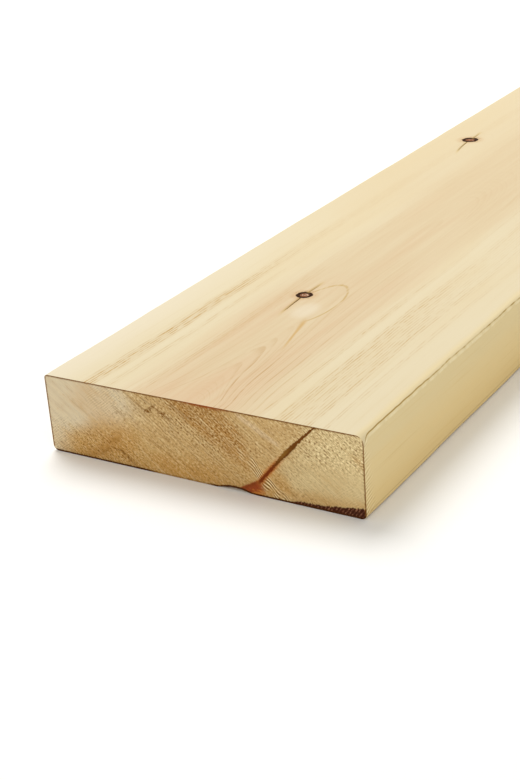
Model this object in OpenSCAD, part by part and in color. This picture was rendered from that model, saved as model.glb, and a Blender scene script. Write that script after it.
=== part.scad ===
/* [Section] */
// Width across the two broad faces, in mm
plank_width = 200; // [150:1:240]
// Thickness between the two broad faces, in mm
plank_thickness = 47; // [35:1:60]

/* [Length] */
// Sold length between the two sawn ends, in mm
plank_length = 2400; // [1200:100:4800]

/* [Eased arrises] */
// Rounding of the upper arris on the -X side, in mm
upper_left_radius = 2; // [1:0.5:5]
// Rounding of the lower arris on the -X side, in mm
lower_left_radius = 3; // [1:0.5:5]
// Rounding of the upper arris on the +X side, in mm
upper_right_radius = 4; // [1:0.5:5]
// Rounding of the lower arris on the +X side, in mm
lower_right_radius = 2.5; // [1:0.5:5]

/* [Knot chip in the lower edge of the -Y end] */
// Width of the chip along the edge, in mm
chip_width = 20; // [14:1:30]
// Height of the chip above the underside, in mm
chip_depth = 1.8; // [1:0.1:4]
// Middle of the chip, measured along +X from the plank's centre line, in mm
chip_offset = 22; // [-50:1:50]

/* [Hidden] */
$fn = 96;
half_width = plank_width / 2;
overcut = 1;
chip_half = chip_width / 2;
chip_radius = (chip_half * chip_half + chip_depth * chip_depth) / (2 * chip_depth);
wood_colour = [0.86, 0.75, 0.55];

// Waste outside one rounded arris, for a corner at the origin with the wood towards +X and +Y
module arris_waste(radius) {
    difference() {
        translate([-overcut, -overcut]) square(radius + overcut);
        translate([radius, radius]) circle(r = radius);
    }
}

// Sawn cross section, width along X and thickness along Y, resting on Y = 0
module section() {
    difference() {
        translate([-half_width, 0]) square([plank_width, plank_thickness]);
        translate([-half_width, 0]) arris_waste(lower_left_radius);
        translate([half_width, 0]) mirror([1, 0]) arris_waste(lower_right_radius);
        translate([-half_width, plank_thickness]) mirror([0, 1]) arris_waste(upper_left_radius);
        translate([half_width, plank_thickness]) rotate(180) arris_waste(upper_right_radius);
    }
}

// Shallow rounded break-out where a knot meets the lower edge of the -Y end
module knot_chip() {
    translate([chip_offset, -plank_length / 2, chip_depth - chip_radius]) sphere(r = chip_radius);
}

// The plank: one sawn length of softwood
module plank() {
    color(wood_colour) difference() {
        rotate([90, 0, 0]) linear_extrude(height = plank_length, center = true) section();
        knot_chip();
    }
}

plank();
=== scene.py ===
"""A sawn softwood plank with eased arrises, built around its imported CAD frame.

Shapes are in millimetres in the plank's own terms until they become a mesh in metres:
across is +X from the middle, along is the distance from the near end, up is +Z from the underside.
"""

from math import cos, e, hypot, pi, radians, sin

import bmesh
import bpy
import numpy as np
from mathutils import Matrix, Vector
from mathutils.geometry import delaunay_2d_cdt


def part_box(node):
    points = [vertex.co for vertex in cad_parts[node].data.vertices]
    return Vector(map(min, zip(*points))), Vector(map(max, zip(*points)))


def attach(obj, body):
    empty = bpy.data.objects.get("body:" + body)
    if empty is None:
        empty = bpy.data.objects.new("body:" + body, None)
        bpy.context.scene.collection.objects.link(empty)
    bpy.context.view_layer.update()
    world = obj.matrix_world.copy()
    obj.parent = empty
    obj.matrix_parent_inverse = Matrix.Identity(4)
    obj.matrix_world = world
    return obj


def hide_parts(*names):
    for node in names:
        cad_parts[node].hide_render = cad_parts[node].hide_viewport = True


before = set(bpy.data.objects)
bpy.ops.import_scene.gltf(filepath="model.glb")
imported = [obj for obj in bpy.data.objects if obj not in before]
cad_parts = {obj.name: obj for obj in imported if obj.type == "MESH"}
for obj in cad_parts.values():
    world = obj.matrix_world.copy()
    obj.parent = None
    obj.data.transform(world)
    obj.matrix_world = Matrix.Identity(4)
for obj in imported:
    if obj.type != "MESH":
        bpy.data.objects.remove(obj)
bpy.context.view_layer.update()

MM = 0.001
LOW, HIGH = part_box("plank")
HALF_WIDTH = HIGH.x / MM
THICKNESS = HIGH.z / MM
LENGTH = (HIGH.y - LOW.y) / MM
NEAR_END = LOW.y


# ---------------------------------------------------------------- camera, floor and light

CAMERA_PLACE = (0.4138, NEAR_END - 0.5765, 0.3726)
CAMERA_HEADING = radians(32.82)
CAMERA_DIP = radians(24.35)
CAMERA_ROLL = radians(4.36)
LENS = 68.76
SENSOR = 36
FLOOR_SIZE = 40
FLOOR_COLOUR = (0.93, 0.925, 0.91)
FLOOR_ROUGHNESS = 0.9
SKY_COLOUR = (1, 0.98, 0.93)
SKY_STRENGTH = 0.61
# Each lamp: name, place, what it faces, size and power.
LAMPS = (
    ("key", (-1.0, NEAR_END + 0.95, 2.1), (0, NEAR_END + 0.3, 0), 1.5, 44),
    ("fill", (1.5, NEAR_END - 0.9, 0.8), (0.1, NEAR_END + 0.2, 0), 1.0, 5),
)


def add_camera():
    """Looks down along the plank from in front of its +X edge, turned a little about its own axis."""
    data = bpy.data.cameras.new("camera")
    data.lens, data.sensor_width, data.sensor_height = LENS, SENSOR, SENSOR
    data.sensor_fit = "AUTO"
    data.dof.use_dof = False
    camera = bpy.data.objects.new("camera", data)
    camera.matrix_world = (
        Matrix.Translation(CAMERA_PLACE)
        @ Matrix.Rotation(CAMERA_HEADING, 4, "Z")
        @ Matrix.Rotation(pi / 2 - CAMERA_DIP, 4, "X")
        @ Matrix.Rotation(-CAMERA_ROLL, 4, "Z")
    )
    bpy.context.scene.collection.objects.link(camera)
    bpy.context.scene.camera = camera


def add_floor():
    mesh = bpy.data.meshes.new("floor")
    half = FLOOR_SIZE / 2
    corners = [(-half, -half, 0), (half, -half, 0), (half, half, 0), (-half, half, 0)]
    mesh.from_pydata(corners, [], [(0, 1, 2, 3)])
    floor = bpy.data.objects.new("floor", mesh)
    material = bpy.data.materials.new("pale_floor")
    material.use_nodes = True
    shader = material.node_tree.nodes["Principled BSDF"]
    shader.inputs["Base Color"].default_value = (*FLOOR_COLOUR, 1)
    shader.inputs["Roughness"].default_value = FLOOR_ROUGHNESS
    mesh.materials.append(material)
    bpy.context.scene.collection.objects.link(floor)


def add_light():
    """An even sky, a soft key lamp above and behind on the -X side, and a weak fill in front."""
    world = bpy.data.worlds.new("sky")
    world.use_nodes = True
    background = world.node_tree.nodes["Background"]
    background.inputs["Color"].default_value = (*SKY_COLOUR, 1)
    background.inputs["Strength"].default_value = SKY_STRENGTH
    bpy.context.scene.world = world
    for name, place, target, size, power in LAMPS:
        lamp = bpy.data.lights.new(name, "AREA")
        lamp.shape, lamp.size, lamp.energy = "DISK", size, power
        light = bpy.data.objects.new(name, lamp)
        turn = (Vector(target) - Vector(place)).to_track_quat("-Z", "Y")
        light.matrix_world = Matrix.Translation(place) @ turn.to_matrix().to_4x4()
        bpy.context.scene.collection.objects.link(light)


# ---------------------------------------------------------------- where the wood's features are

# Small round knots in the top face: across, along, radius.
KNOTS = ((-23.3, 159.6, 5.0), (-69.3, 514.5, 6.2))
# Drying checks: which knot, where they start and end from its middle, their drift and how dark.
CHECKS = (
    (0, -4, -31, 1.5, 0.85), (0, 4, 22, 0.4, 0.5),
    (1, -5, -36, 4.5, 0.7), (1, 5, 22, -0.8, 0.5),
)
# Bundles of darker threads along the faces: across, half-width, share of colour.
THREADS = (
    (-69, 7, 1.0), (-57, 4, 0.35), (-36, 6, 0.35), (39, 3, 0.5),
    (51, 5.5, 0.5), (60, 16, 0.4), (68, 3, 0.35), (78, 3, 0.3),
)
# The threads in a bundle lie this far apart.
THREAD_SPACING = 1.9
# The pith runs under the top face at this place across. Each pair is a distance along and its depth there.
PITH_ACROSS = -5
PITH_DEPTH = (
    (0, 0), (6, 3), (15, 9), (26, 12.6), (40, 14.6), (60, 15.8), (80, 17.2), (106, 19), (132, 20.6),
    (150, 21.4), (330, 22.4), (385, 27), (452, 36), (600, 42),
)
# One ring closes on itself beside the first knot: its middle, half-width and half-length.
LOOP_MIDDLE, LOOP_REACH = (-9, 149), (12.6, 33.5)
# A streak of resin runs back from the loop towards the near end: its top, and how far it leans.
RESIN_TOP, RESIN_LEAN = (-2.5, 124), 0.22
# On the ends the rings fall this steeply to the right.
RING_TILT = 0.75
# Rings get wider outwards: ring_count takes these as its scale in millimetres, its rate and its start.
RING_GROWTH, RING_RATE, RING_START = 31, 15.6, 0.92
# A spike knot crosses the near end: where it starts near the underside, and its slope, length and bow.
SPIKE_FOOT = (38, 9)
SPIKE_SLOPE = radians(47.8)
SPIKE_LENGTH = 51
SPIKE_BOW = 0.8


def check_line(number, end, drift, across, along):
    """How far along a drying check each place lies, as a share of its length, and how far to its side."""
    knot_across, knot_along, _ = KNOTS[number]
    share = (along - knot_along) / end
    return share, across - knot_across - share * share * drift


def spike_line(across, up, sine):
    """How far out from the spike knot's foot a place on the end lies, and how far below its bowed middle."""
    dx, dz = across - SPIKE_FOOT[0], up - SPIKE_FOOT[1]
    c, v = cos(SPIKE_SLOPE), sin(SPIKE_SLOPE)
    out = dx * c + dz * v
    return out, dx * v - dz * c + sine(out * (pi / SPIKE_LENGTH)) * SPIKE_BOW


def steps(low, high, size):
    """Evenly spaced stops from low to high, about this far apart, both ends included."""
    return np.linspace(low, high, max(2, int(round((high - low) / size)) + 1))


def wander(along, length, seed):
    """A smooth random line between -1 and 1 that turns about once in each length."""
    knots = np.random.default_rng(seed).uniform(-1, 1, int(LENGTH / length) + 4)
    place = np.asarray(along) / length
    i = np.floor(place).astype(int)
    f = place - i
    f = f * f * (3 - 2 * f)
    return knots[i] * (1 - f) + knots[i + 1] * f


# ---------------------------------------------------------------- the shape

# Each arris: side of the plank across, side up, radius, extra radius at the near end.
ARRISES = ((1, 0, 2.5, 0.5), (1, 1, 3.2, 1.6), (-1, 1, 2.0, 0.4), (-1, 0, 3.0, 0.2))
ARRIS_STEPS = 7
# How far the extra radius reaches along, and the radius's uneven waves: share, length and first seed.
NEAR_FLARE = 7
ARRIS_WAVES = ((0.14, 55, 10), (0.09, 13, 20))
# Squares across the underside, the +X side, the top and the -X side, and the narrow one beside each arris.
FACE_CELLS = (40, 16, 66, 16)
BORDER_CELL = 0.3
# Rows along: very short at the near end, short as far as the photograph shows, and then long.
END_LENGTH, END_STEP = 3.6, 0.6
FINE_LENGTH, FINE_STEP = 640, 3.6
COARSE_STEP = 12
# The break-out at the near end's lower edge is a shallow hollow, cut as by a ball.
CHIP_ACROSS, CHIP_WIDTH, CHIP_DEPTH = 22, 20, 1.8
CHIP_RADIUS = (CHIP_WIDTH ** 2 / 4 + CHIP_DEPTH ** 2) / (2 * CHIP_DEPTH)
# The knots' relief: a groove at the rim, a dished heart, and the drying checks.
KNOT_RIM_PLACE, KNOT_RIM_HALF, KNOT_GROOVE, KNOT_DISH = 0.86, 0.13, 0.45, 0.25
CHECK_HALF, CHECK_GROOVE = 0.55, 0.6
# How sharply a check opens beside its knot and closes at its tip.
CHECK_OPENING, CHECK_CLOSING = 9, 4
# Points this close under the top face count as on it, and the relief keeps this far from the plank's sides.
TOP_REACH, SIDE_ROOM = 0.01, 4
# The squares cut smaller for them: how far past the knot's radius across and along, and into how many.
KNOT_MARGIN, CHECK_MARGIN, KNOT_CUTS = 5, 30, 6
# The ends' relief: smooth grain, torn grain, and the spike knot's groove with its half-width and run-in.
SMOOTH_GRAIN, TORN_GRAIN = 0.03, 0.12
SPIKE_GROOVE, SPIKE_HALF, SPIKE_RUN_IN = 0.3, 0.9, 4
# The middles and reaches of the torn patches on the near end.
TORN_PATCHES = (((86, 37), (22, 13)), ((-5, 38), (32, 10)))
# The ends' triangles: their size near and far, and the closer strip along the spike knot.
NEAR_CELL, FAR_CELL = 0.9, 2.5
SPIKE_STRIP = ((30, 0.5), (73, 47))
STRIP_HALF, STRIP_CELL = 4.5, 0.45
# How far points move at random, and the gap they leave at the outline, in cells.
JITTER, STRIP_JITTER, OUTLINE_GAP = 0.22, 0.2, 0.35
JITTER_SEED, GRAIN_SEED = 7, 11
# Shares of the map across, one for each face and the arris after it, starting with the underside.
MAP_SHARES = (0.14, 0.01, 0.10, 0.025, 0.38, 0.012, 0.09, 0.012)
# The map's share along for the short rows, and where the ends lie on it: across, and near and far along.
MAP_FINE = 0.6
MAP_ENDS_ACROSS = (0.795, 0.995)
MAP_NEAR, MAP_FAR = (0.01, 0.79), (0.81, 0.99)


def arris_radius(number, along):
    """An arris's radius at these distances along, a little uneven, and larger at the near end."""
    _, _, radius, flare = ARRISES[number]
    rough = 1
    for share, length, seed in ARRIS_WAVES:
        rough = rough + share * wander(along, length, seed + number)
    return radius * rough + flare * np.exp(-((along / NEAR_FLARE) ** 2))


def chip_height(across, along):
    """How far the break-out lifts the underside."""
    inside = CHIP_RADIUS ** 2 - (across - CHIP_ACROSS) ** 2 - along ** 2
    return np.maximum(0, CHIP_DEPTH - CHIP_RADIUS + np.sqrt(np.maximum(0, inside)))


def skin_columns(along):
    """The section's points at these distances along: across and up for each, and the map's place across."""
    corners = []
    for number, (side, top, _, _) in enumerate(ARRISES):
        r = arris_radius(number, along)[:, None]
        first = (-pi / 2, 0, pi / 2, pi)[number]
        angle = first + np.linspace(0, pi / 2, ARRIS_STEPS + 1)[None, :]
        middle_across = side * (HALF_WIDTH - r)
        middle_up = THICKNESS - r if top else r
        corners.append((middle_across + r * np.cos(angle), middle_up + r * np.sin(angle)))
    across, up, place, start = [], [], [], 0
    for face in range(4):
        before, after = corners[face - 1], corners[face]
        narrow = BORDER_CELL / (2 * HALF_WIDTH if face % 2 == 0 else THICKNESS)
        f = np.append(0, np.linspace(narrow, 1 - narrow, FACE_CELLS[face] - 1))
        across += [before[0][:, -1:] * (1 - f) + after[0][:, :1] * f, after[0][:, :-1]]
        up += [before[1][:, -1:] * (1 - f) + after[1][:, :1] * f, after[1][:, :-1]]
        flat, rounded = MAP_SHARES[2 * face: 2 * face + 2]
        place += [start + flat * f, start + flat + rounded * np.arange(ARRIS_STEPS) / ARRIS_STEPS]
        start += flat + rounded
    return np.hstack(across), np.hstack(up), np.append(np.hstack(place), start)


def skin_mesh():
    """The four long faces and their arrises as one grid of squares, open at both ends."""
    along = np.concatenate([
        steps(0, END_LENGTH, END_STEP)[:-1],
        steps(END_LENGTH, FINE_LENGTH, FINE_STEP)[:-1],
        steps(FINE_LENGTH, LENGTH, COARSE_STEP),
    ])
    across, up, place = skin_columns(along)
    rows, columns = across.shape
    deep = np.broadcast_to(along[:, None], across.shape)
    on_underside = np.arange(columns) < FACE_CELLS[0] + 1
    up = up + np.where(on_underside, chip_height(across, deep), 0)
    points = np.stack([across * MM, NEAR_END + deep * MM, up * MM], -1).reshape(-1, 3)
    i, j = np.meshgrid(np.arange(rows - 1), np.arange(columns), indexing="ij")
    k = (j + 1) % columns
    faces = np.stack([i * columns + j, (i + 1) * columns + j, (i + 1) * columns + k, i * columns + k], -1)
    row_place = np.interp(along, (0, FINE_LENGTH, LENGTH), (0, MAP_FINE, 1))
    u = np.stack([place[j], place[j], place[j + 1], place[j + 1]], -1)
    v = np.stack([row_place[i], row_place[i + 1], row_place[i + 1], row_place[i]], -1)
    mesh = bpy.data.meshes.new("sawn_plank")
    mesh.from_pydata(points.tolist(), [], faces.reshape(-1, 4).tolist())
    uv = mesh.uv_layers.new(name="OFBake")
    uv.data.foreach_set("uv", np.stack([u, v], -1).astype(np.float32).ravel())
    return mesh, columns


def knot_depth(across, along):
    """How deep the knots' rims, their dished hearts and the drying checks lie under the top face."""
    depth = np.zeros_like(across)
    for knot_across, knot_along, radius in KNOTS:
        distance = np.hypot(across - knot_across, along - knot_along) / radius
        rim = np.exp(-(((distance - KNOT_RIM_PLACE) / KNOT_RIM_HALF) ** 2)) * KNOT_GROOVE
        depth = np.maximum(depth, np.maximum(rim, np.maximum(0, 1 - distance ** 2) * KNOT_DISH))
    for number, start, end, drift, _ in CHECKS:
        share, off = check_line(number, end, drift, across, along)
        opening = np.clip((share - start / end) * CHECK_OPENING, 0, 1)
        closing = np.clip((1 - share) * CHECK_CLOSING, 0, 1)
        depth = np.maximum(depth, np.exp(-((off / CHECK_HALF) ** 2)) * opening * closing * CHECK_GROOVE)
    return depth


def is_top(vert):
    return vert.co.z / MM > THICKNESS - TOP_REACH


def sink_knots(bm):
    """Lowers the top face's small squares into the knots and checks."""
    chosen = [v for v in bm.verts if is_top(v) and abs(v.co.x) / MM < HALF_WIDTH - SIDE_ROOM]
    place = np.array([(v.co.x / MM, (v.co.y - NEAR_END) / MM) for v in chosen])
    for vert, depth in zip(chosen, knot_depth(place[:, 0], place[:, 1])):
        vert.co.z -= depth * MM


def refine(bm, across, along, half_across, half_along, cuts):
    """Cuts the top face's squares around one place into smaller ones."""
    def in_reach(vert):
        off_across = abs(vert.co.x / MM - across)
        off_along = abs((vert.co.y - NEAR_END) / MM - along)
        return is_top(vert) and off_across < half_across and off_along < half_along

    edges = [edge for edge in bm.edges if in_reach(edge.verts[0]) and in_reach(edge.verts[1])]
    bmesh.ops.subdivide_edges(bm, edges=edges, cuts=cuts, use_grid_fill=True)


def refill_strip(points, rng):
    """Swaps the points in the strip along the spike knot for ones that lie closer together."""
    start, end = np.array(SPIKE_STRIP)
    length = np.hypot(*(end - start))
    axis = (end - start) / length
    side = np.array([axis[1], -axis[0]])
    out, off = (points - start) @ axis, (points - start) @ side
    kept = points[~((np.abs(off) < STRIP_HALF) & (out > 0) & (out < length))]
    out, off = np.meshgrid(steps(0, length, STRIP_CELL), steps(-STRIP_HALF, STRIP_HALF, STRIP_CELL))
    extra = start + out.reshape(-1, 1) * axis + off.reshape(-1, 1) * side
    return np.vstack([kept, extra + rng.uniform(-STRIP_JITTER, STRIP_JITTER, extra.shape) * STRIP_CELL])


def end_points(outline, step, is_near):
    """Points inside an end's outline, jittered so that no rows show, and closer together in the strip."""
    rng = np.random.default_rng(JITTER_SEED)
    x, z = np.meshgrid(steps(-HALF_WIDTH, HALF_WIDTH, step), steps(0, THICKNESS, step))
    points = np.stack([x.ravel(), z.ravel()], -1) + rng.uniform(-JITTER, JITTER, (x.size, 2)) * step
    if is_near:
        points = refill_strip(points, rng)
    return points[well_inside(points, outline, OUTLINE_GAP * step)]


def well_inside(points, outline, room):
    """Which points lie inside a closed outline and further than this from it."""
    a, b = outline, np.roll(outline, -1, 0)
    side = b - a
    share = ((points[:, None] - a) * side).sum(-1) / np.maximum((side * side).sum(-1), 1e-9)
    foot = a + np.clip(share, 0, 1)[..., None] * side
    gap = np.hypot(*np.moveaxis(points[:, None] - foot, -1, 0)).min(1)
    above = (a[:, 1] > points[:, None, 1]) != (b[:, 1] > points[:, None, 1])
    rise = np.where(side[:, 1] == 0, 1, side[:, 1])
    cross = a[:, 0] + side[:, 0] * (points[:, None, 1] - a[:, 1]) / rise
    inside = (above & (points[:, None, 0] < cross)).sum(1) % 2 == 1
    return inside & (gap > room)


def grain_depth(points, is_near):
    """How far the grain lies inside the end's plane: torn in places, with a groove along the spike knot."""
    rough = np.random.default_rng(GRAIN_SEED).uniform(0, 1, len(points))
    if not is_near:
        return rough * SMOOTH_GRAIN
    across, up = points.T
    torn = 0
    for middle, reach in TORN_PATCHES:
        u, v = (across - middle[0]) / reach[0], (up - middle[1]) / reach[1]
        torn = torn + np.exp(-(u ** 2) - v ** 2)
    out, off = spike_line(across, up, np.sin)
    groove = np.exp(-((off / SPIKE_HALF) ** 2)) * np.clip(out / SPIKE_RUN_IN, 0, 1) * SPIKE_GROOVE
    return rough * (SMOOTH_GRAIN + torn * TORN_GRAIN) + groove


def close_end(bm, ring, step, is_near):
    """Fills one end of the skin with small triangles."""
    outline = np.array([(v.co.x / MM, v.co.z / MM) for v in ring])
    inner = end_points(outline, step, is_near)
    flat = [Vector(p) for p in np.vstack([outline, inner])]
    rim = [(i, (i + 1) % len(ring)) for i in range(len(ring))]
    _, _, faces, sources, _, _ = delaunay_2d_cdt(flat, rim, [], 1, 1e-6)
    inward = MM if is_near else -MM
    places = zip(inner, ring[0].co.y + grain_depth(inner, is_near) * inward)
    verts = list(ring) + [bm.verts.new((p[0] * MM, y, p[1] * MM)) for p, y in places]
    uv = bm.loops.layers.uv["OFBake"]
    left, right = MAP_ENDS_ACROSS
    low, high = MAP_NEAR if is_near else MAP_FAR
    for face in faces:
        corners = [verts[sources[i][0]] for i in face]
        made = bm.faces.new(corners if is_near else corners[::-1])
        made.material_index = 1
        for loop in made.loops:
            u = loop.vert.co.z / MM / THICKNESS
            v = loop.vert.co.x / MM / HALF_WIDTH / 2 + 0.5
            loop[uv].uv = (left + (right - left) * u, low + (high - low) * v)


def build_plank():
    """The whole plank as one closed mesh: the skin, its two ends, and the relief around the knots."""
    mesh, columns = skin_mesh()
    bm = bmesh.new()
    bm.from_mesh(mesh)
    bm.verts.ensure_lookup_table()
    near_ring = [bm.verts[i] for i in range(columns)]
    far_ring = [bm.verts[i] for i in range(len(bm.verts) - columns, len(bm.verts))]
    close_end(bm, near_ring, NEAR_CELL, True)
    close_end(bm, far_ring, FAR_CELL, False)
    for across, along, radius in KNOTS:
        refine(bm, across, along, radius + KNOT_MARGIN, radius + CHECK_MARGIN, KNOT_CUTS)
    sink_knots(bm)
    for edge in bm.edges:
        edge.smooth = len({face.material_index for face in edge.link_faces}) == 1
    bm.to_mesh(mesh)
    bm.free()
    mesh.shade_smooth()
    plank = bpy.data.objects.new("sawn_plank", mesh)
    bpy.context.scene.collection.objects.link(plank)
    return plank


# ---------------------------------------------------------------- arithmetic for materials

# Blender's noise stays near its middle, so this widens it to about -1 to 1.
NOISE_GAIN = 3.2
# How far one seed lies from the next in the noise.
SEED_STEPS = (5.3, 11.7, 7.9)
SPECULAR = 0.03
# Paint that belongs to the top face alone fades in between these heights.
TOP_SPAN = (20, 40)


class Field:
    """A value that a material works out at each point of the surface, written as arithmetic."""

    def __init__(self, socket):
        self.socket = socket
        self.tree = socket.id_data

    def math(self, operation, *others):
        node = self.tree.nodes.new("ShaderNodeMath")
        node.operation = operation
        for socket, value in zip(node.inputs, (self, *others)):
            feed(socket, value)
        return Field(node.outputs[0])

    def __add__(self, other):
        return self.math("ADD", other)

    def __sub__(self, other):
        return self.math("SUBTRACT", other)

    def __rsub__(self, other):
        return self.math("MULTIPLY_ADD", -1, other)

    def __mul__(self, other):
        return self.math("MULTIPLY", other)

    def __truediv__(self, other):
        return self.math("DIVIDE", other)

    def __neg__(self):
        return self.math("MULTIPLY", -1)

    def __abs__(self):
        return self.math("ABSOLUTE")

    __radd__, __rmul__ = __add__, __mul__

    def root(self):
        return self.math("SQRT")

    def sine(self):
        return self.math("SINE")

    def rise(self, low, high):
        """0 below low, 1 above high, and smooth between."""
        node = self.tree.nodes.new("ShaderNodeMapRange")
        node.interpolation_type = "SMOOTHSTEP"
        feed(node.inputs["Value"], self)
        feed(node.inputs["From Min"], low)
        feed(node.inputs["From Max"], high)
        return Field(node.outputs[0])

    def fall(self, low, high):
        """1 below low, 0 above high, and smooth between."""
        return 1 - self.rise(low, high)

    def near(self, middle, reach):
        """1 at the middle, and 0 at this distance from it or more."""
        return abs(self - middle).fall(0, reach)

    def curve(self, points):
        """The height of a smooth curve through these points, which start at 0."""
        width, height = max(x for x, _ in points), max(y for _, y in points)
        node = self.tree.nodes.new("ShaderNodeFloatCurve")
        line = node.mapping.curves[0]
        for x, y in points[1:-1]:
            line.points.new(x / width, y / height)
        line.points[0].location = (0, points[0][1] / height)
        line.points[-1].location = (1, points[-1][1] / height)
        node.mapping.update()
        feed(node.inputs["Value"], self / width)
        return Field(node.outputs[0]) * height


def feed(socket, value):
    """Links a field to a socket, or sets a plain number or colour on it."""
    if isinstance(value, Field):
        value.tree.links.new(value.socket, socket)
    elif socket.type == "RGBA":
        socket.default_value = (*value, 1)
    else:
        socket.default_value = value


def highest(first, *others):
    for other in others:
        first = first.math("MAXIMUM", other)
    return first


def lowest(first, *others):
    for other in others:
        first = first.math("MINIMUM", other)
    return first


def mix(base, over, share):
    """The base colour with another laid over it, by a share from 0 to 1."""
    node = share.tree.nodes.new("ShaderNodeMix")
    node.data_type = "RGBA"
    feed(node.inputs[0], share)
    feed(node.inputs[6], base)
    feed(node.inputs[7], over)
    return Field(node.outputs[2])


def srgb(red, green, blue):
    """A colour given from 0 to 255, as the linear light that a shader takes."""
    shares = [value / 255 for value in (red, green, blue)]
    return tuple(v / 12.92 if v < 0.04045 else ((v + 0.055) / 1.055) ** 2.4 for v in shares)


class Surface:
    """A material that is built up in layers, with places on the plank as fields in millimetres.

    In the paint functions, numbers are places and sizes in millimetres, or shares from 0 to 1.
    """

    def __init__(self, name, colour, roughness):
        self.material = bpy.data.materials.new(name)
        self.material.use_nodes = True
        self.tree = self.material.node_tree
        coordinates = self.tree.nodes.new("ShaderNodeTexCoord")
        self.place = coordinates.outputs["Object"]
        x, y, z = self.split(self.place)
        self.across, self.along, self.up = x / MM, (y - NEAR_END) / MM, z / MM
        self.on_top = self.up.rise(*TOP_SPAN)
        self.facing_side = self.split(coordinates.outputs["Normal"])[0]
        self.colour = colour
        self.roughness = roughness
        self.relief = 0

    def split(self, socket):
        node = self.tree.nodes.new("ShaderNodeSeparateXYZ")
        self.tree.links.new(socket, node.inputs[0])
        return [Field(output) for output in node.outputs]

    def scaled(self, sizes, seed):
        """The place counted in cells of these sizes, moved to a part of the pattern that the seed picks."""
        node = self.tree.nodes.new("ShaderNodeVectorMath")
        node.operation = "MULTIPLY_ADD"
        self.tree.links.new(self.place, node.inputs[0])
        node.inputs[1].default_value = [1 / (MM * size) for size in sizes]
        node.inputs[2].default_value = [seed * step for step in SEED_STEPS]
        return node.outputs[0]

    def noise(self, sizes, seed, detail=1.5):
        """Smooth noise from about -1 to 1, in lumps of these sizes across, along and up."""
        return self.texture(self.scaled(sizes, seed), detail)

    def texture(self, place, detail):
        node = self.tree.nodes.new("ShaderNodeTexNoise")
        self.tree.links.new(place, node.inputs["Vector"])
        node.inputs["Scale"].default_value = 1
        node.inputs["Detail"].default_value = detail
        return (Field(node.outputs[0]) - 0.5) * NOISE_GAIN

    def noise_at(self, place, detail=1):
        """Smooth noise from about -1 to 1 at a place made of fields and numbers."""
        join = self.tree.nodes.new("ShaderNodeCombineXYZ")
        for socket, value in zip(join.inputs, place):
            feed(socket, value)
        return self.texture(join.outputs[0], detail)

    def patch(self, middle, reach, turn=0):
        """A soft oval on the end: 1 in its middle and 0 past its reach, with its long axis turned up."""
        dx, dz = self.across - middle[0], self.up - middle[1]
        c, s = cos(radians(turn)), sin(radians(turn))
        u = (dx * c + dz * s) / reach[0]
        v = (dz * c - dx * s) / reach[1]
        return (u * u + v * v).fall(0, 1)

    def stroke(self, start, end, width):
        """A soft straight stroke on the end from one place to another, 1 along its middle."""
        dx, dz = end[0] - start[0], end[1] - start[1]
        length = hypot(dx, dz)
        x, z = self.across - start[0], self.up - start[1]
        out = (x * dx + z * dz) / length ** 2
        off = (x * dz - z * dx) / (length * width)
        return abs(off).fall(0, 1) * out.rise(-0.1, 0.15) * out.fall(0.8, 1.1)

    def oval(self, middle, reach):
        """A soft oval on the long faces: 1 in its middle and 0 past its reach across and along."""
        u, v = (self.across - middle[0]) / reach[0], (self.along - middle[1]) / reach[1]
        return (u * u + v * v).fall(0, 1)

    def paint(self, colour, share):
        self.colour = mix(self.colour, colour, share)

    def paint_rough(self, colour, shape, rough, low, high, share=1):
        """Paints a soft shape with an edge broken up by noise: nothing at low, and its full share at high."""
        self.paint(colour, (shape + rough).rise(low, high) * share)

    def lift(self, height):
        """Adds a height in millimetres to the fine relief."""
        self.relief = height + self.relief

    def finish(self):
        shader = self.tree.nodes["Principled BSDF"]
        bump = self.tree.nodes.new("ShaderNodeBump")
        bump.inputs["Distance"].default_value = MM
        feed(bump.inputs["Height"], self.relief)
        self.tree.links.new(bump.outputs[0], shader.inputs["Normal"])
        feed(shader.inputs["Base Color"], self.colour)
        feed(shader.inputs["Roughness"], self.roughness)
        shader.inputs["Specular IOR Level"].default_value = SPECULAR
        return self.material


# ---------------------------------------------------------------- growth rings


def ring_lines(s, count, soft, seed):
    """Late-wood lines, one at each whole count, whose strengths differ and change along them."""
    turn, number = count.math("FRACT"), count.math("FLOOR")
    strength = s.noise_at((number * 1.7, s.along / 130, seed)).rise(-0.7, 0.7)
    return turn.rise(1 - soft, 0.95) * turn.fall(0.96, 1) * strength


def ring_distance(s):
    """How far each point lies from the pith, made less around the knots so that the rings bend past them."""
    level = s.across - PITH_ACROSS + (s.up - THICKNESS) / RING_TILT
    level = level + s.noise((18, 160, 18), 1) * 0.8 + s.noise((4, 60, 4), 2) * 0.25
    wandering = s.noise((900, 420, 900), 3) * s.along.rise(620, 1100) * 16
    depth = s.along.curve(PITH_DEPTH) + wandering
    distance = (level * level + depth * depth).root()
    for across, along, radius in KNOTS:
        dx, dt = (s.across - across) / (radius * 1.8), (s.along - along) / (radius * 4)
        around = (dx * dx + dt * dt).fall(0, 3) * s.on_top
        distance = distance * (1 - around * 0.2)
    return distance


def ring_loop(s):
    """The ring that closes on itself: 1 along its line, and under 1 inside it."""
    dx = (s.across - LOOP_MIDDLE[0]) / LOOP_REACH[0]
    dt = (s.along - LOOP_MIDDLE[1]) / LOOP_REACH[1]
    return (dx * dx + dt * dt).root() + s.noise((9, 20, 9), 18) * 0.04


def ring_count(distance):
    """Rings get wider with their distance from the pith."""
    return (distance / RING_GROWTH + 1).math("LOGARITHM", e) * RING_RATE - RING_START


# ---------------------------------------------------------------- the planed faces

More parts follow.
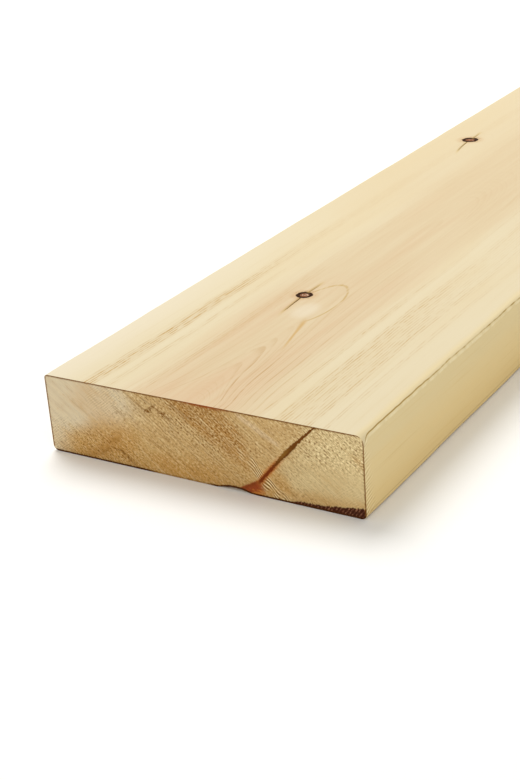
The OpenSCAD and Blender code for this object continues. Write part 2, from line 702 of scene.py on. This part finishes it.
# Wood colours, and the colours of painted highlights and shade, given from 0 to 255.
SAPWOOD = srgb(218, 205, 174)
SAPWOOD_WARM = srgb(216, 199, 163)
CREAM = srgb(224, 213, 190)
SAPWOOD_LINE = srgb(203, 182, 136)
HEARTWOOD_AND_FAR_SHADE = srgb(210, 190, 155)
HEARTWOOD_PINK = srgb(209, 181, 146)
HEARTWOOD_LINE = srgb(186, 152, 104)
RESIN_LINE = srgb(166, 110, 64)
KNOT_RIM = srgb(52, 24, 0)
KNOT_HEART = srgb(124, 72, 38)
KNOT_GLINT = srgb(228, 198, 172)
KNOT_HALO = srgb(196, 148, 96)
KNOT_TICKS = srgb(136, 92, 44)
CHECK_SHADE = srgb(88, 54, 18)
CHECK_HALO = srgb(196, 166, 96)
STREAK = srgb(184, 146, 84)
LOOP_LINE = srgb(190, 160, 104)
RESIN_STREAK = srgb(198, 162, 104)
SIDE_HIGH = srgb(221, 202, 155)
SIDE_LOW = srgb(226, 200, 143)
SIDE_STREAK = srgb(206, 174, 112)
ARRIS_SHADE = srgb(164, 134, 72)
# The bright hatch colour is both the pale saw hatch and a painted highlight along the +X arris.
HATCH_AND_HIGHLIGHT_BRIGHT = srgb(250, 236, 196)
HATCH_SHADE = srgb(150, 112, 54)
PLANED_ROUGHNESS, SAWN_ROUGHNESS = 0.55, 0.75
# The heartwood shows as a band between these places across the top.
HEART_LEFT, HEART_RIGHT = -41, 32
# The +X side begins this far below the top face, and further below at the worn near corner.
ARRIS_LINE, WORN_DROP, WORN_LENGTH = 0.9, 6, 2.4


def paint_heart(s):
    """The pinker band along the middle of the top face, with soft edges."""
    place = s.across + s.noise((60, 170, 60), 4) * 3 + s.noise((3, 75, 3), 5, 2) * 4
    heart = place.rise(HEART_LEFT - 14, HEART_LEFT + 12) * place.fall(HEART_RIGHT - 12, HEART_RIGHT + 12)
    nearness = s.along.fall(0, 70) * 0.45 - s.along.rise(150, 260) * 0.35
    pink = (s.noise((16, 130, 16), 6, 2) * 0.5 + 0.35 + nearness).rise(0, 1)
    streaky = 0.62 + s.noise((4, 120, 4), 19, 2).rise(-0.8, 0.6) * 0.38
    s.paint(mix(HEARTWOOD_AND_FAR_SHADE, HEARTWOOD_PINK, pink), heart * streaky)
    return heart


def paint_face_rings(s, heart):
    """Ring lines on the long faces: arches in the heart band, and faint lines in the sapwood."""
    loop = ring_loop(s)
    distance = ring_distance(s)
    broken = s.noise((1.2, 16, 1.2), 16, 2).rise(-1.1, 0.5)
    clear = distance.rise(11, 14) * (1 - loop.fall(0.97, 1.05) * s.on_top)
    main = ring_lines(s, ring_count(distance), 0.32, 0.5) * clear * broken
    fine = ring_lines(s, distance / 1.3, 0.5, 4.5) * broken
    quiet = (1 - s.along.rise(50, 130) * 0.55) * (0.4 + s.across.rise(-14, 0) * 0.6 * heart)
    share = highest(main, fine * 0.5) * quiet * 0.8
    s.paint(mix(SAPWOOD_LINE, HEARTWOOD_LINE, heart), share)
    resin = s.across.near(13, 20) * s.along.fall(5, 110)
    s.paint(RESIN_LINE, main * resin * 0.22)
    s.paint(CREAM, s.oval((-10, 137), (10, 16)) * s.on_top * 0.5)
    shown = highest(s.across.rise(-6, 0) * s.along.rise(114, 126), s.along.rise(160, 170)) * s.on_top
    s.paint(LOOP_LINE, loop.near(1, 0.07) * shown * broken * 0.95)
    paint_resin_streak(s)
    return main


def paint_resin_streak(s):
    """The thin streak of resin below the closed ring, widest at its top."""
    run = RESIN_TOP[0] + (RESIN_TOP[1] - s.along) * RESIN_LEAN + s.noise((9, 20, 9), 56) * 0.4
    spread = 1.4 + s.along.rise(100, 120) * 1.4
    span = s.along.rise(74, 96) * s.along.fall(117, 128) * s.on_top
    s.paint(RESIN_STREAK, s.across.near(run, spread) * span * 0.85)


def paint_streaks(s):
    """Bundles of thin darker threads that run a long way, and a fine fibre all over."""
    place = s.across + s.noise((70, 130, 70), 17) * 1.5
    thread = (place / THREAD_SPACING + s.noise((3, 50, 3), 29) * 0.3).math("FRACT")
    thread = thread.near(0.5, 0.32).rise(0, 0.8) * s.noise((1.3, 8, 1.3), 7, 3).rise(-0.55, 0.5)
    fading = 1 - s.along.rise(110, 260) * 0.7
    for across, width, share in THREADS:
        bundle = place.near(across, width).rise(0, 0.8) * fading * share
        s.paint(STREAK, bundle * 0.14)
        s.paint(STREAK, thread * bundle)
    fibre = s.noise((0.65, 22, 0.65), 8, 2.5)
    s.paint(STREAK, (fibre * 0.17).rise(0, 1))
    s.paint(CREAM, (fibre * -0.2).rise(0, 1))
    return fibre


def paint_knot(s, number):
    """A small round knot: a dark bark rim around a brown heart with pale glints, in a warm halo."""
    across, along, radius = KNOTS[number]
    dx, dt = s.across - across, s.along - along
    uneven = s.noise((1.6, 2.2, 1.6), 10 + number, 2) * 0.07
    distance = (dx * dx + dt * dt).root() / radius + uneven
    s.paint(KNOT_HALO, distance.fall(0.95, 2.2) * 0.35 * s.on_top)
    ticks = s.noise((0.9, 3.5, 0.9), 60 + number, 2).rise(0.05, 0.8) * distance.fall(1, 1.9)
    s.paint(KNOT_TICKS, ticks * 0.8 * s.on_top)
    s.paint(KNOT_HEART, distance.fall(0.85, 0.95) * s.on_top)
    glints = s.noise((1.2, 1.2, 1.2), 20 + number, 2).rise(-0.05, 0.5) * (1 - number * 0.6)
    s.paint(KNOT_GLINT, glints * distance.fall(0.45, 0.7) * dt.rise(-2.5, 0.5) * s.on_top)
    s.paint(KNOT_RIM, distance.near(0.82, 0.36).rise(0, 0.45) * s.on_top)
    s.roughness = s.roughness - distance.fall(0.85, 1) * 0.15 * s.on_top


def paint_check(s, number, start, end, drift, shade):
    """A drying check that runs out from a knot and closes: dark inside, with stained edges."""
    share, off = check_line(number, end, drift, s.across, s.along)
    width = (1 - share) * 0.5 + 0.12
    off = abs(off)
    span = share.rise(start / end, start / end + 0.05) * s.on_top
    s.paint(CHECK_HALO, off.fall(0.2, 1.8) * span * share.fall(0.8, 1.25) * 0.5)
    s.paint(CHECK_SHADE, (off / width).fall(0.5, 1.5) * span * share.fall(0.7, 1) * shade)


def paint_sides(s):
    """A paler band along the top face's -X edge, a painted highlight along its +X arris, and the sides, which
    are more golden.
    """
    edge = s.across + s.noise((90, 30, 90), 9) * 1.2
    s.paint(CREAM, edge.fall(-96, -72) * s.along.fall(20, 330) * 0.7)
    # Painted highlight: the +X arris of the top face is painted paler.
    s.paint(SIDE_HIGH, edge.rise(93, 98) * 0.6)
    drop = THICKNESS - s.up + s.noise((40, 11, 40), 14) * 0.22
    worn = ARRIS_LINE + (s.along / -WORN_LENGTH).math("EXPONENT") * WORN_DROP
    outer = s.across.rise(90, 94)
    right = (drop - worn).rise(-0.25, 0.25) * outer
    left = (-s.facing_side).rise(0.9, 0.98)
    low = (s.up + s.noise((60, 200, 9), 12) * 7).fall(2, 44)
    s.paint(mix(SIDE_HIGH, SIDE_LOW, low), highest(left, right))
    chipped = s.noise((9, 5, 9), 16, 2).rise(-0.7, 0.5)
    # Painted highlight: a broken pale band just below the dark line at the +X arris.
    s.paint(HATCH_AND_HIGHLIGHT_BRIGHT, (drop - worn).near(1.1, 1.3) * right * (0.15 + chipped * 0.45))
    slots = s.noise((3, 70, 1.3), 13, 2)
    s.paint(SIDE_STREAK, (slots * 0.5).rise(0.05, 0.6) * right * 0.4)
    fading = 1 - s.along.rise(40, 110) * chipped * 0.75
    s.paint(ARRIS_SHADE, (drop - worn).near(0, 0.38).rise(0, 0.8) * outer * fading)
    s.paint(ARRIS_SHADE, highest(s.up.fall(0.3, 1.3), s.up.near(3.4, 0.6) * 0.4) * right)
    hatch = (s.up / 2.2 - s.along * 0.12 + s.noise((7, 12, 7), 15) * 0.5).math("FRACT")
    ragged = s.along + s.up * 0.15 + s.noise((3, 9, 2), 54, 2) * 4
    torn = ragged.fall(3, 13) * right * s.noise((6, 6, 3), 55, 2).rise(-0.9, 0.5)
    s.paint(HATCH_SHADE, hatch.near(0.75, 0.32) * torn * 0.5)
    s.paint(HATCH_AND_HIGHLIGHT_BRIGHT, hatch.near(0.28, 0.3) * torn * 0.55)


def planed_wood():
    """The material of the four long faces."""
    s = Surface("planed_softwood", SAPWOOD, PLANED_ROUGHNESS)
    s.paint(SAPWOOD_WARM, (s.noise((20, 170, 20), 0, 2) * 0.5 + 0.3).rise(0, 1))
    heart = paint_heart(s)
    lines = paint_face_rings(s, heart)
    fibre = paint_streaks(s)
    # Painted shade: the top face is painted darker further from the near end.
    s.paint(HEARTWOOD_AND_FAR_SHADE, s.along.rise(260, 420) * s.on_top * 0.4)
    s.paint(SAPWOOD_WARM, s.across.fall(-90, -50) * s.along.rise(150, 420) * 0.5)
    for number in range(len(KNOTS)):
        paint_knot(s, number)
    for number, start, end, drift, shade in CHECKS:
        paint_check(s, number, start, end, drift, shade)
    paint_sides(s)
    s.lift(fibre * 0.02 - lines * 0.02)
    return s.finish()


# ---------------------------------------------------------------- the sawn ends

END_WOOD = srgb(205, 170, 114)
END_PALE = srgb(224, 209, 178)
END_PINK = srgb(219, 191, 150)
END_GOLD = srgb(200, 152, 82)
END_OLIVE = srgb(198, 158, 96)
END_BROWN = srgb(180, 130, 64)
END_YELLOW = srgb(222, 199, 148)
END_LINE = srgb(120, 76, 26)
END_BRIGHT = srgb(250, 230, 180)
EDGE_SHADE = srgb(78, 42, 16)
EDGE_RED = srgb(150, 78, 34)
SPIKE_DARK = srgb(112, 66, 22)
SPIKE_OLIVE = srgb(138, 96, 38)
SPIKE_RED = srgb(122, 54, 18)
FLARE_RED = srgb(152, 62, 28)
FLARE_ORANGE = srgb(206, 128, 54)
STAIN = srgb(62, 14, 8)
STAIN_PALE = srgb(200, 140, 108)
# Saw scratches rise to the right on the end, this far apart.
SCRATCH_SPACING = 1.25
# Bright and dark streaks follow the rings in the middle of the end, this far apart.
STREAK_SPACING = 1.9
# Thin dark marks in the torn grain of the near end: where each starts and ends, its half-width and share.
MARKS = (
    ((-45, 45.5), (-31, 36), 0.9, 0.5), ((-35, 44.5), (-24, 38.5), 0.9, 0.7),
    ((-33, 35.8), (-25.5, 41.5), 1.3, 0.9), ((-25, 38.8), (-15.5, 34), 1.1, 0.8),
    ((-32.5, 36.8), (-28, 37.2), 1.5, 1), ((-24, 37.6), (-19, 37.4), 1.3, 0.9),
    ((-16, 43.8), (-2, 36.5), 1.1, 0.55), ((-66, 4), (-59.5, 9.2), 1.3, 0.75),
    ((-57.5, 14), (-52, 15.5), 1.6, 0.4), ((-58, 10.2), (-50, 8.4), 1.1, 0.6),
    ((-52, 9.4), (-42, 1.6), 1.4, 0.85),
)
# Rings crowd together where they pass the spike's foot: how far out they lie, their half-span and spacing.
CROWD_MIDDLE, CROWD_REACH, CROWD_SPACING = 35.2, 5.2, 1.75


def ring_axes(s):
    """Distances along and across the general run of the rings on an end, which fall to the right."""
    return s.across * 0.8 - s.up * 0.6, s.across * 0.6 + s.up * 0.8


def paint_patches(s, specks):
    """Broad patches of pale, golden and brown wood on an end, streaked along the rings."""
    ring_way, cross_way = ring_axes(s)
    streaks = s.noise_at((ring_way / 20, cross_way / 2.4, 2.5), 3)
    blotch = streaks * 0.16 + s.noise_at((ring_way / 12, cross_way / 9, 5.5), 3) * 0.22 + specks * 0.12
    s.paint_rough(END_OLIVE, s.up.fall(2, 36) * s.across.rise(-78, -40), blotch, 0.1, 0.9, 0.8)
    s.paint_rough(END_PALE, s.patch((-104, 46), (82, 38), -12), blotch, 0, 0.65, 0.92)
    s.paint_rough(END_PINK, s.patch((-66, 34), (26, 16), -20), blotch, 0.1, 1, 0.6)
    s.paint_rough(END_PALE, s.patch((-98, 8), (18, 22)), blotch, 0, 1, 0.7)
    s.paint_rough(END_YELLOW, (s.across * 0.74 - s.up * 0.5) / 40, blotch, 0.45, 0.95)
    s.paint_rough(END_GOLD, s.patch((-65, 8), (42, 22), 28), blotch, -0.15, 1.3)
    s.paint_rough(END_GOLD, s.up.fall(0, 22) * s.across.near(-10, 60), blotch, 0.1, 0.9, 0.9)
    s.paint_rough(END_GOLD, s.stroke((10, 36), (38, 14), 8), blotch, 0.1, 1, 0.8)
    s.paint_rough(END_GOLD, s.patch((46, 9), (15, 11)), blotch, 0, 1, 0.7)
    s.paint_rough(END_BROWN, s.patch((4, 41), (40, 15), -27), blotch * 1.3, -0.05, 1, 0.85)
    s.paint(END_BROWN, s.patch((24, 24), (14, 10), -27) * (0.5 + streaks * 0.3))
    s.paint_rough(END_GOLD, s.up.fall(3, 16) * s.across.rise(8, 44), blotch * 0.6, 0.1, 1, 0.6)
    s.paint_rough(END_PINK, s.stroke((26, 45.5), (53, 31), 3.2), streaks * 0.3, 0.2, 0.9, 0.75)


def paint_marks(s, specks):
    """Thin dark marks and one broad brown one on the end, broken up by the torn grain."""
    broken = (specks + s.noise((2, 2, 2), 53) * 0.7).rise(-0.45, 0.4)
    for start, end, width, share in MARKS:
        s.paint(END_LINE, s.stroke(start, end, width).rise(0, 0.6) * broken * share)
    s.paint(END_BROWN, s.stroke((-78, -2), (-50, 19), 6) * broken * 0.7)


def paint_end_rings(s, distance):
    """Rings cut square across: soft dark lines with paler ones between."""
    main = ring_lines(s, ring_count(distance), 0.5, 0.5)
    fine = ring_lines(s, distance / 1.15, 0.6, 4.5)
    s.paint(END_LINE, main * (0.1 + s.across.near(0, 60) * 0.2))
    s.paint(END_LINE, fine * (0.14 + s.patch((68, 18), (26, 22)) * 0.4))
    s.paint(END_BRIGHT, ring_lines(s, distance / 1.15 + 0.5, 0.6, 8.5) * 0.2)
    return main


def paint_end_streaks(s):
    """Short bright and dark streaks along the rings, faint where the wood is pale and smooth."""
    ring_way, cross_way = ring_axes(s)
    streak = s.noise_at((ring_way / 7, cross_way / 1.1, 9.5), 3)
    plain = highest(s.patch((-92, 38), (44, 30)), s.patch((86, 14), (34, 18)))
    s.paint(END_LINE, (-streak).rise(0.1, 0.8) * (1 - plain * 0.7) * 0.42)
    s.paint(END_BRIGHT, streak.rise(0.1, 0.8) * (1 - plain * 0.7) * 0.36)
    line = (cross_way / STREAK_SPACING + s.noise((9, 9, 9), 57) * 0.5).math("FRACT")
    broken = s.noise_at((ring_way / 12, cross_way / 3, 12.5), 3).rise(-0.5, 0.7)
    shown = s.patch((0, 35), (66, 26), -22) * broken
    s.paint(END_LINE, line.near(0.72, 0.34) * shown * 0.5)
    s.paint(END_BRIGHT, line.near(0.25, 0.3) * shown * 0.35)


def paint_crowded_rings(s):
    """The rings that bend round the foot of the spike knot stand out as bright and dark lines."""
    level = ring_axes(s)[1] + s.across.rise(32, 40) * 3 + (s.across - 41).math("MAXIMUM", 0) * 0.08
    level = level + ((s.across - 46) * 0.75).sine() * 0.3 + s.noise((4, 4, 4), 49) * 0.4
    wave = (level / CROWD_SPACING).math("FRACT")
    crowd = level.near(CROWD_MIDDLE, CROWD_REACH).rise(0, 0.5) * s.across.rise(29, 37) * s.across.fall(50, 62)
    pair = level.near(CROWD_MIDDLE - 0.4, 1.6).rise(0, 0.2) * s.across.rise(14, 26) * s.across.fall(34, 38)
    shown = highest(crowd, pair * 0.5) * s.noise((5, 5, 5), 46).rise(-0.9, 0.4)
    s.paint(END_LINE, wave.near(0.74, 0.36).rise(0, 0.8) * shown)
    s.paint(END_BRIGHT, wave.near(0.25, 0.3).rise(0, 0.7) * shown)


def torn_grain(s):
    """Small specks of torn fibre, drawn out a little along the rings."""
    ring_way, cross_way = ring_axes(s)
    return s.noise_at((ring_way / 1.5, cross_way / 0.85, s.along / 9), 3)


def paint_torn_grain(s, specks, near):
    """Bright and dark specks, strongest at the top right and the top middle."""
    middle = highest(s.patch((0, 36), (52, 17), -20) * 0.8, s.patch((-62, 8), (34, 16)) * 0.6)
    rough = highest(s.patch((86, 37), (34, 22)), middle) * near
    smooth = s.patch((-90, 38), (44, 24))
    plain = highest(smooth, s.patch((92, 14), (38, 18)) * 0.5)
    bright = 0.34 + rough * (0.15 + s.across.rise(50, 80) * 0.8)
    s.paint(END_BRIGHT, specks.rise(0.05, 0.6) * bright * (1 - plain))
    dark = 0.5 + rough * (0.8 - s.across.rise(50, 80) * 0.5)
    s.paint(END_LINE, (-specks).rise(0.05, 0.65) * dark * (1 - plain))


def paint_scratches(s):
    """Fine parallel saw scratches that rise to the right, in a few places."""
    place = s.across * 0.6 - s.up * 0.8
    line = (place / SCRATCH_SPACING + s.noise((9, 9, 9), 50) * 0.3).math("FRACT")
    lower_right = s.patch((92, 8), (14, 14)) * 0.6
    shown = highest(s.patch((-60, 38), (16, 13)), s.patch((-92, 11), (15, 16)), lower_right)
    shown = shown * s.noise((2.2, 2.2, 2.2), 51, 2).rise(-0.6, 0.7)
    s.paint(END_BRIGHT, line.near(0.3, 0.3) * shown * 0.35)
    s.paint(END_LINE, line.near(0.8, 0.25) * shown * 0.3)


def paint_spike(s, out, off):
    """The spike knot: dark brown, with ragged red edges at its foot, olive in its middle, thin at its top."""
    ragged = abs(off) + s.noise((1.3, 1.3, 1.3), 43, 3) * 0.6
    half = 0.8 + out.near(27, 13) * 0.7 - out.rise(36, 51) * 0.25
    s.paint(FLARE_ORANGE, ragged.fall(0.7, 3) * out.rise(-4, 1) * out.fall(12, 28) * 0.7)
    s.paint(EDGE_RED, ragged.fall(0.8, 2) * out.rise(-3, 2) * out.fall(12, 24) * 0.7)
    inside = (ragged / half).fall(0.7, 1.3) * out.rise(-3, 0)
    shade = mix(SPIKE_RED, SPIKE_DARK, out.rise(10, 18))
    shade = mix(shade, SPIKE_OLIVE, out.near(24, 8) * off.fall(-0.3, 1) * 0.9)
    s.paint(shade, inside)
    return inside


def paint_flare(s):
    """The wide red foot of the spike knot, down to the break-out in the bottom edge."""
    ragged = s.noise((1.5, 1.5, 1.5), 47, 2)
    left = (s.across - 24.4) * 0.58 + 2.6 - s.up + ragged * 0.6
    inside = left.rise(-0.5, 0.9) * (s.across + ragged * 1.5).fall(36, 43)
    inside = inside * s.across.rise(23, 26) * s.up.fall(8.5, 12)
    mottle = s.noise((2, 2, 1.3), 45, 3) * 2
    redness = s.up - (s.across - 27) * 0.26 + mottle * 1.4
    shade = mix(FLARE_ORANGE, FLARE_RED, redness.rise(-1.5, 2))
    core = left.near(1.4, 1.6) * s.across.fall(35, 40) * mottle.rise(-1.6, 0.8)
    shade = mix(shade, SPIKE_RED, core * 0.8)
    s.paint(shade, inside * 0.92)


def paint_stain(s, specks):
    """A dark stain along the right half of the bottom edge, crossed by pale saw scratches."""
    height = s.across.rise(50, 64) * 2.6 + s.across.rise(66, 108) * 4.2
    fringe = s.noise((0.8, 9, 3), 48, 2) * 0.8
    inside = (height - s.up + fringe).rise(-0.3, 0.6) * s.across.rise(49, 54)
    scratches = ((s.across - s.up * 0.7) / 2 + specks * 0.3).math("FRACT").near(0.5, 0.3)
    shown = s.noise((2.5, 9, 2.5), 52, 2).rise(-0.5, 0.9) * 0.75
    s.paint(mix(STAIN, STAIN_PALE, scratches * shown), inside * 0.97)


def paint_edges(s, specks, near):
    """Thin dark lines along the end's top and side edges, and a darker painted shadow along its bottom edge
    that follows the break-out's hollow.
    """
    top = THICKNESS - s.up + specks * 0.3
    s.paint(END_LINE, lowest(top, HALF_WIDTH - abs(s.across) + specks * 0.4).fall(0.45, 1.3) * 0.85)
    s.paint(EDGE_RED, top.fall(0.3, 2.4) * s.across.near(6, 22) * near)
    dx = s.across - CHIP_ACROSS
    chip = highest((CHIP_RADIUS ** 2 - dx * dx).root() + (CHIP_DEPTH - CHIP_RADIUS), 0) * near
    middle = 1 - s.across.near(-12, 26).rise(0, 0.4) * 0.6
    # Painted shadow: a dark line along the bottom edge and the break-out, fainter a little left of the
    # middle.
    s.paint(EDGE_SHADE, (s.up - chip + specks * 0.2).fall(0.7, 1.4) * middle)


def end_grain():
    """The material of both ends. Marks that the photograph shows are only on the near one."""
    s = Surface("sawn_end_grain", END_WOOD, SAWN_ROUGHNESS)
    near = s.along.fall(LENGTH / 3, LENGTH / 2)
    specks = torn_grain(s)
    paint_patches(s, specks)
    lines = paint_end_rings(s, ring_distance(s))
    paint_end_streaks(s)
    paint_torn_grain(s, specks, near)
    plain = s.colour
    paint_marks(s, specks)
    paint_scratches(s)
    paint_flare(s)
    paint_crowded_rings(s)
    out, off = spike_line(s.across, s.up, Field.sine)
    spike = paint_spike(s, out, off)
    paint_stain(s, specks)
    s.colour = mix(plain, s.colour, near)
    paint_edges(s, specks, near)
    s.lift(specks * 0.05 - lines * 0.03 - spike * 0.02)
    return s.finish()


bpy.context.scene.view_settings.view_transform = "Standard"
add_camera()
add_floor()
add_light()
plank = build_plank()
plank.data.materials.append(planed_wood())
plank.data.materials.append(end_grain())
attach(plank, "root")
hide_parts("plank")
